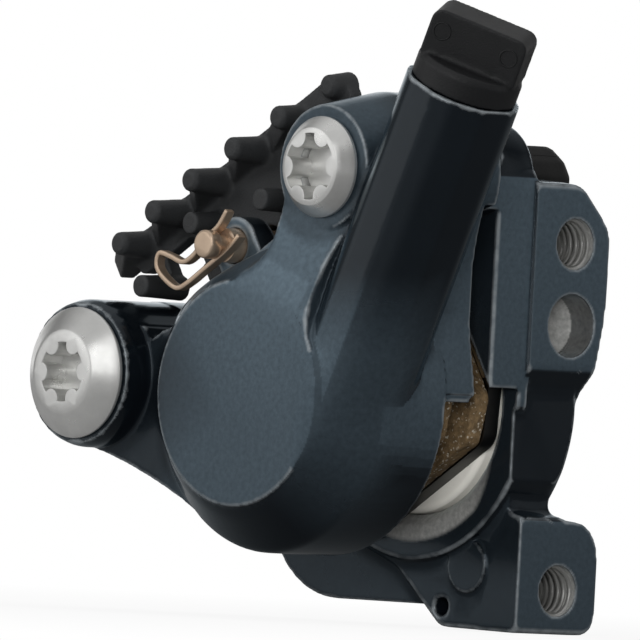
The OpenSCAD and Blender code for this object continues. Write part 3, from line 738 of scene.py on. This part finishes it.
def mount_half_crisp(co):
    pads = co[:, 1] > -1.1
    threads = np.minimum(off_line(co, UPPER_MOUNT_LINE), off_line(co, LOWER_MOUNT_LINE)) < 3.2
    holes = threads | ((off_line(co, LIGHT_HOLE_LINE) < 4) & (co[:, 1] > -7))
    bore = (off_line(co, PISTON_LINE) < 13.6) & (co[:, 0] > -4)
    slot = co[:, 0] > 8
    bleed = (off_line(co, BLEED_LINE) < 3.4) & (co[:, 2] > 12)
    boss = (off_line(co, BLANK_BOSS_LINE) < 3.4) & (co[:, 0] > 3)
    return np.where(holes | bore | bleed | boss, 1.0, np.where(pads | slot, 0.75, 0.0))


def mount_half_bare(co, facing):
    inside = ramp(co[:, 1], -0.15, 0.15)
    mounts = ramp(np.minimum(off_line(co, UPPER_MOUNT_LINE), off_line(co, LOWER_MOUNT_LINE)), 2.7, 0.3)
    # The lightening hole's walls get only part of the bare alloy: a painted dark reflection on bare metal.
    light = ramp(off_line(co, LIGHT_HOLE_LINE), 3.25, 0.3) * (0.35 + 0.65 * ramp(-facing[:, 1], -0.5, 0.3))
    low = ramp(co[:, 2], -7, 5)
    # The bare ring is wider at the bottom; its fainter top is painted shade in the bore's chamfer.
    rim = ramp(off_line(co, PISTON_LINE), 12.1 + 1.5 * low, 0.4) * (0.3 + 0.7 * low)
    bore = np.maximum(rim, ramp(off_line(co, PISTON_LINE), 11.2, 0.2)) * ramp(-co[:, 0], 3.5)
    bleed = ramp(off_line(co, BLEED_LINE), 3.2) * ramp(-co[:, 2], -12)
    drilled = inside * ramp(-co[:, 1], 9) * np.maximum(mounts, light)
    return np.maximum(np.maximum(drilled, bore), bleed)


def mount_half_satin(co, facing):
    """Machined mount pads and the strip beside them, painted paler towards the top as painted light from
    above; a trace on the web's flank.
    """
    # Painted light from above: the pads are painted paler with height.
    painted_top_light = 0.4 + 0.004 * co[:, 2]
    pads = painted_top_light * ramp(-facing[:, 1], -0.95, 0.08) * ramp(-co[:, 1], 0.8, 0.3)
    return np.maximum(pads, 0.1 * ramp(-facing[:, 0], -0.95, 0.08))


class CALIPER_OT_painted_halves(bpy.types.Operator):
    """Cast the hose-side and mount-side halves and paint them"""

    bl_idname = "caliper.painted_halves"
    bl_label = "Painted Halves"

    def execute(self, context):
        s = sizes()
        for node, name, crisp, settled, masks in (
                ("hose_side_body", "hose_half", hose_half_crisp,
                 [((26.5, -2.5, -1.0), 8.0, 2.4), (NECK_FOOT, 6.0, 1.6)],
                 {"bare": hose_half_bare, "satin": hose_half_satin}),
                ("mount_side_body", "mount_half", mount_half_crisp, [],
                 {"bare": mount_half_bare, "satin": mount_half_satin})):
            half = cast_copy(node, name, s.cast_grid, s.cast_edge, s.cast_fillet, crisp, settled, masks,
                             s.cast_keep)
            finished(half, once(body_paint), "caliper_body", "body_paint", node)
        return {"FINISHED"}


class CALIPER_OT_cooling_fins(bpy.types.Operator):
    """Cast the two combs of cooling fins with soft edges and a matt coat"""

    bl_idname = "caliper.cooling_fins"
    bl_label = "Cooling Fins"

    def execute(self, context):
        s = sizes()
        for side in ("hose_side", "mount_side"):
            comb = cast_copy(side + "_cooling_fins", side + "_comb", s.fin_grid, 0.25 * MM, 0.5 * MM)
            finished(comb, once(fin_black), side + "_pad", "fin_black", side + "_cooling_fins")
        return {"FINISHED"}


class CALIPER_OT_body_bolts(bpy.types.Operator):
    """Break the edges of the two body bolts and give them turned steel"""

    bl_idname = "caliper.body_bolts"
    bl_label = "Body Bolts"

    def execute(self, context):
        for node, maker in (("upper_body_bolt", upper_bolt_steel), ("lower_body_bolt", lower_bolt_steel)):
            bolt = edged_copy(node, node + "_turned", 0.1 * MM, angle=20)
            finished(bolt, once(maker), "caliper_body", "bolt_steel", node)
        return {"FINISHED"}


class CALIPER_OT_mount_threads(bpy.types.Operator):
    """Cut thread ridges into the two mount holes"""

    bl_idname = "caliper.mount_threads"
    bl_label = "Mount Threads"

    def execute(self, context):
        s = sizes()
        tree = bpy.data.node_groups.new("MountThreads", "GeometryNodeTree")
        tree.interface.new_socket("Geometry", in_out="OUTPUT", socket_type="NodeSocketGeometry")
        given = {}
        for label, value in (("Radius", THREAD_RADIUS), ("Pitch", s.thread_pitch), ("Turns", s.thread_turns),
                             ("Ridge", s.thread_height), ("Spacing", MOUNT_SPACING * MM)):
            socket = tree.interface.new_socket(label, in_out="INPUT", socket_type="NodeSocketFloat")
            given[socket.identifier] = value
        t = Tree(tree)
        inputs = t.add("NodeGroupInput").outputs
        height = t.math("MULTIPLY", inputs["Pitch"], inputs["Turns"])
        helix = t.add("GeometryNodeCurveSpiral", {
            "Resolution": 36, "Rotations": inputs["Turns"], "Height": height,
            "Start Radius": inputs["Radius"], "End Radius": inputs["Radius"]})
        thread = t.swept(helix.outputs[0], t.circle(4, inputs["Ridge"]), capped=True)
        half = t.math("MULTIPLY", inputs["Spacing"], 0.5)
        first = t.add("ShaderNodeCombineXYZ", {"Y": -0.45 * MM, "Z": t.math("MULTIPLY", half, -1.0)})
        step = t.add("ShaderNodeCombineXYZ", {"Z": inputs["Spacing"]})
        holes = t.add("GeometryNodeMeshLine", {
            "Count": 2, "Start Location": first.outputs[0], "Offset": step.outputs[0]})
        t.put_out(holes.outputs[0], thread, (math.radians(90), 0, 0), once(thread_alloy))
        obj = grown("mount_threads", tree, given)
        finished(obj, once(thread_alloy), "caliper_body", "body_paint")
        return {"FINISHED"}


def grown(name, tree, given):
    """A plain mesh made by a geometry node tree."""
    obj = linked(name, bpy.data.meshes.new(name))
    modifier = obj.modifiers.new("Nodes", "NODES")
    modifier.node_group = tree
    for identifier, value in given.items():
        modifier[identifier] = value
    mesh = applied(obj)
    bm = bmesh.new()
    bm.from_mesh(mesh)
    bmesh.ops.remove_doubles(bm, verts=bm.verts, dist=1e-6)
    bmesh.ops.recalc_face_normals(bm, faces=bm.faces)
    bm.to_mesh(mesh)
    bm.free()
    return obj


class CALIPER_OT_pads(bpy.types.Operator):
    """Finish the backing plates, the friction blocks and the fin rivets"""

    bl_idname = "caliper.pads"
    bl_label = "Brake Pads"

    def execute(self, context):
        s = sizes()
        for side in ("hose_side", "mount_side"):
            body = side + "_pad"
            plate = edged_copy(side + "_backing_plate", side + "_plate", 0.15 * MM)
            finished(plate, once(plate_steel), body, "plate_steel", side + "_backing_plate")
            block = cast_copy(side + "_friction_pad", side + "_block", 0.2 * MM, 0.3 * MM, 0.3 * MM,
                              grit=s.grit_height)
            finished(block, once(friction_resin), body, "friction_resin", side + "_friction_pad")
            rivets = edged_copy(side + "_fin_rivets", side + "_rivets", 0.1 * MM)
            finished(rivets, once(plate_steel), body, "rivet_metal", side + "_fin_rivets")
        return {"FINISHED"}


class CALIPER_OT_pistons(bpy.types.Operator):
    """Finish the two pistons and the seals"""

    bl_idname = "caliper.pistons"
    bl_label = "Pistons and Seals"

    def execute(self, context):
        for side in ("hose_side", "mount_side"):
            cup = edged_copy(side + "_piston", side + "_ceramic_cup", 0.2 * MM)
            finished(cup, once(piston_ceramic), side + "_cup", "piston_ceramic", side + "_piston")
            seal = edged_copy(side + "_piston_seal", side + "_square_ring", 0.12 * MM)
            finished(seal, once(cap_rubber), "caliper_body", "seal_rubber", side + "_piston_seal")
        ring = edged_copy("transfer_port_seal", "transfer_ring", 0.02 * MM)
        finished(ring, once(cap_rubber), "caliper_body", "seal_rubber", "transfer_port_seal")
        return {"FINISHED"}


class CALIPER_OT_axle_and_clip(bpy.types.Operator):
    """Finish the pad axle, its clip and the return spring"""

    bl_idname = "caliper.axle_and_clip"
    bl_label = "Pad Axle and Clip"

    def execute(self, context):
        axle = edged_copy("pad_axle", "gold_axle", 0.08 * MM)
        finished(axle, once(gold_steel), "caliper_body", "gold_steel", "pad_axle")
        clip = cast_copy("pad_axle_clip", "gold_clip", 0.08 * MM, 0.12 * MM, 0.12 * MM)
        finished(clip, once(gold_steel), "caliper_body", "gold_steel", "pad_axle_clip")
        spring = edged_copy("pad_return_spring", "leaf_spring", 0.06 * MM)
        finished(spring, once(spring_steel), "caliper_body", "spring_steel", "pad_return_spring")
        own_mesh(spring)
        return {"FINISHED"}


class CALIPER_OT_port_plug(bpy.types.Operator):
    """Mould the port plug with its ejector pin marks"""

    bl_idname = "caliper.port_plug"
    bl_label = "Port Plug"

    def execute(self, context):
        plug = cast_copy("hose_port_plug", "moulded_plug", 0.16 * MM, 0.25 * MM, 0.4 * MM)
        finished(plug, once(plug_plastic), "port_plug", "plug_plastic", "hose_port_plug")
        tree = bpy.data.node_groups.new("PinMarks", "GeometryNodeTree")
        tree.interface.new_socket("Geometry", in_out="OUTPUT", socket_type="NodeSocketGeometry")
        width = tree.interface.new_socket("Width", in_out="INPUT", socket_type="NodeSocketFloat")
        t = Tree(tree)
        radius = t.math("MULTIPLY", t.add("NodeGroupInput").outputs["Width"], 0.5)
        ring = t.swept(t.circle(40, radius), t.circle(8, PIN_BEAD))
        grip = PORT_PLACE @ Matrix.Rotation(math.radians(-55), 4, "Z")
        face = grip @ Matrix.Rotation(math.radians(-90), 4, "X")
        left, right = (face @ Vector((x * MM, -5.2 * MM, 2.5 * MM)) for x in (-3.5, 3.5))
        line = {"Count": 2, "Start Location": left, "Offset": right}
        ends = t.add("GeometryNodeMeshLine", line, mode="END_POINTS")
        t.put_out(ends.outputs[0], ring, face.to_euler(), once(plug_plastic))
        marks = grown("plug_pin_marks", tree, {width.identifier: sizes().pin_mark_width})
        finished(marks, once(plug_plastic), "port_plug", "plug_plastic")
        return {"FINISHED"}


class CALIPER_OT_bleed_screw(bpy.types.Operator):
    """Finish the bleed nipple and its rubber cap"""

    bl_idname = "caliper.bleed_screw"
    bl_label = "Bleed Nipple and Cap"

    def execute(self, context):
        nipple = edged_copy("bleed_nipple", "turned_nipple", 0.12 * MM)
        finished(nipple, once(nipple_steel), "bleed_screw", "bolt_steel", "bleed_nipple")
        cap = edged_copy("bleed_nipple_cap", "soft_cap", 0.25 * MM, segments=3, angle=20)
        finished(cap, once(cap_rubber), "bleed_cap", "cap_rubber", "bleed_nipple_cap")
        return {"FINISHED"}


# Stage

VIEW_SIDE = Vector((0.695, 0.719, 0))
VIEW_CENTRE = Vector((15.5, -19.4, 8.3)) * MM
VIEW_DISTANCE = 2.4
VIEW_LEAN = math.radians(3)
LENS_PER_METRE = 344.2 / 0.6
PANEL_SIDE = Vector((0.695, -0.719, 0))
LAMP_DISTANCE = 0.6
# Name, direction, size in metres and power in watts of each lamp.
LAMPS = (
    ("Key", (0.8, -0.6, 0.4), 0.4, 1.2),
    ("Fill", (-0.6, 0.8, 0.4), 0.4, 1.0),
    ("Top", (-0.1, -0.1, 1.0), 0.5, 0.9),
    ("Front", (0.7, 0.71, 0.08), 0.2, 2.8),
)


class CALIPER_OT_stage(bpy.types.Operator):
    """Set the floor, the studio light and the camera"""

    bl_idname = "caliper.stage"
    bl_label = "Stage"

    def execute(self, context):
        self.floor()
        self.world(context.scene)
        for name, side, size, power in LAMPS:
            self.lamp(name, side, size, power)
        self.camera(context.scene)
        context.scene.view_settings.view_transform = "Standard"
        return {"FINISHED"}

    def floor(self):
        mesh = bpy.data.meshes.new("floor")
        level = CAD_BOX[0][2]
        corners = [(-2, -2, level), (2, -2, level), (2, 2, level), (-2, 2, level)]
        mesh.from_pydata(corners, [], [(0, 1, 2, 3)])
        obj = linked("floor", mesh)
        material = bpy.data.materials.new("pale_floor")
        material.use_nodes = True
        t = Tree(material.node_tree)
        nodes = material.node_tree.nodes
        nodes.remove(nodes["Principled BSDF"])
        seen = t.add("ShaderNodeLightPath").outputs
        mirrored = t.math("ADD", seen["Is Glossy Ray"], seen["Is Transmission Ray"])
        place = t.add("ShaderNodeTexCoord").outputs["Object"]
        away = t.add("ShaderNodeVectorMath", {0: place}, operation="LENGTH")
        pale = t.span(away.outputs["Value"], 0.06, 0.2, 0.9, 1.0)
        side = t.along(place, PANEL_SIDE)
        table = t.math("MULTIPLY", mirrored, t.span(side, 0.03, 0.07, 0.05, 0.25))
        bright = t.math("ADD", t.math("MULTIPLY", seen["Is Camera Ray"], pale), table)
        tone = t.span(seen["Is Camera Ray"], 0, 1, 0.1, 0.8)
        matt = t.add("ShaderNodeBsdfDiffuse", {"Color": tone})
        white = t.add("ShaderNodeEmission")
        mixed = t.add("ShaderNodeMixShader", {0: bright, 1: matt.outputs[0], 2: white.outputs[0]})
        material.node_tree.links.new(mixed.outputs[0], nodes["Material Output"].inputs["Surface"])
        mesh.materials.append(material)

    def world(self, scene):
        """White to the camera; to a reflection, pale panels and a strip in a dark room with a pale back."""
        scene.world = bpy.data.worlds.new("studio")
        scene.world.use_nodes = True
        t = Tree(scene.world.node_tree)
        way = t.add("ShaderNodeTexCoord").outputs["Generated"]
        side = t.along(way, PANEL_SIDE)
        behind = t.along(way, -VIEW_SIDE)
        above = t.add("ShaderNodeSeparateXYZ", {"Vector": way}).outputs["Z"]
        left, right = t.span(side, 0.5, 0.9, 0.08, 0.9), t.span(side, -0.9, -0.5, 0.3, 0.08)
        panels = t.math("MULTIPLY", t.math("MAXIMUM", left, right), t.span(behind, 0.1, 0.45, 1.0, 0.2))
        near = t.span(t.math("ABSOLUTE", t.math("SUBTRACT", side, 0.33)), 0.12, 0.34, 1.4, 0.0)
        strip = t.math("MULTIPLY", near, t.span(behind, -0.7, -0.5, 1.0, 0.0))
        back = t.span(behind, 0.75, 0.95, 0.0, 1.0)
        room = t.math("MAXIMUM", t.math("MAXIMUM", panels, strip),
                      t.math("MAXIMUM", back, t.span(above, 0.45, 0.9, 0.0, 0.5)))
        seen = t.add("ShaderNodeLightPath").outputs
        glossy = t.math("MULTIPLY", t.math("ADD", seen["Is Glossy Ray"], seen["Is Transmission Ray"]), room)
        other = t.math("MULTIPLY", seen["Is Diffuse Ray"], 0.22)
        strength = t.math("MAXIMUM", t.math("MAXIMUM", seen["Is Camera Ray"], glossy), other)
        sky = scene.world.node_tree.nodes["Background"]
        sky.inputs["Color"].default_value = (1, 1, 1, 1)
        t.tree.links.new(strength, sky.inputs["Strength"])

    def lamp(self, name, side, size, power):
        data = bpy.data.lights.new(name, "AREA")
        data.size = size
        data.energy = power
        obj = linked(name, data)
        obj.location = VIEW_CENTRE + Vector(side).normalized() * LAMP_DISTANCE
        obj.rotation_euler = Vector(side).to_track_quat("Z", "Y").to_euler()
        obj.visible_glossy = False

    def camera(self, scene):
        data = bpy.data.cameras.new("Camera")
        data.sensor_width = 36
        data.lens = LENS_PER_METRE * VIEW_DISTANCE
        obj = linked("Camera", data)
        right = Vector((-0.719, 0.695, 0))
        across = math.cos(VIEW_LEAN) * right + math.sin(VIEW_LEAN) * Vector((0, 0, 1))
        up = -math.sin(VIEW_LEAN) * right + math.cos(VIEW_LEAN) * Vector((0, 0, 1))
        turn = Matrix((across, up, VIEW_SIDE)).transposed().to_4x4()
        obj.matrix_world = Matrix.Translation(VIEW_CENTRE + VIEW_DISTANCE * VIEW_SIDE) @ turn
        scene.camera = obj


class CALIPER_PT_sidebar(bpy.types.Panel):
    """Lists the steps that finish the caliper"""

    bl_label = "Caliper"
    bl_idname = "CALIPER_PT_sidebar"
    bl_space_type = "VIEW_3D"
    bl_region_type = "UI"
    bl_category = "Caliper"

    def draw(self, context):
        for step in STEPS:
            self.layout.operator(step.bl_idname)
        for group in (sizes(), colours()):
            for key in group.__annotations__:
                self.layout.prop(group, key)


STEPS = (
    CALIPER_OT_painted_halves, CALIPER_OT_cooling_fins, CALIPER_OT_body_bolts, CALIPER_OT_mount_threads,
    CALIPER_OT_pads, CALIPER_OT_pistons, CALIPER_OT_axle_and_clip, CALIPER_OT_port_plug,
    CALIPER_OT_bleed_screw, CALIPER_OT_stage,
)
CLASSES = (CaliperSizes, CaliperColours, *STEPS, CALIPER_PT_sidebar)


def register():
    for cls in CLASSES:
        bpy.utils.register_class(cls)
    bpy.types.Scene.caliper_sizes = bpy.props.PointerProperty(type=CaliperSizes)
    bpy.types.Scene.caliper_colours = bpy.props.PointerProperty(type=CaliperColours)


def unregister():
    del bpy.types.Scene.caliper_colours
    del bpy.types.Scene.caliper_sizes
    for cls in reversed(CLASSES):
        bpy.utils.unregister_class(cls)


def main():
    register()
    for step in STEPS:
        family, action = step.bl_idname.split(".")
        getattr(getattr(bpy.ops, family), action)()


if __name__ == "__main__":
    main()
